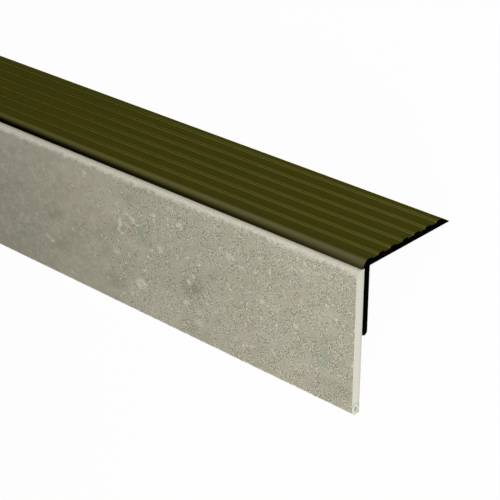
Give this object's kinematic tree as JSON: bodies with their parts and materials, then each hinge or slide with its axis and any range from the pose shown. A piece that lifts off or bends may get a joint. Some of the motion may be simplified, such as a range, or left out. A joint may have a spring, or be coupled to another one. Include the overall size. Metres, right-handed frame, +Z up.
{
  "type": "stair nosing",
  "caption": "Ribbed aluminium stair edge angle with a rounded nose and ramped back, and a bevelled stone-look riser strip bonded under its lip, cut flush at both ends.",
  "frame": {"origin": "on the floor, at the centre of the plan of the stock as it lies on the tip of the flange and the heel of the strip", "axes": "+X along the stock's length, +Y from the riser strip towards the ramp of the flange, +Z up; the underside of the flange faces down and forward, the rear face of the leg down and back"},
  "size_m": [0.9, 0.0778, 0.0391],
  "materials": {
    "bronze_aluminium": "satin",
    "stone_look_covering": "matte"
  },
  "bodies": {
    "root": {"nosing_profile": "bronze_aluminium", "riser_strip": "stone_look_covering"}
  },
  "joints": []
}
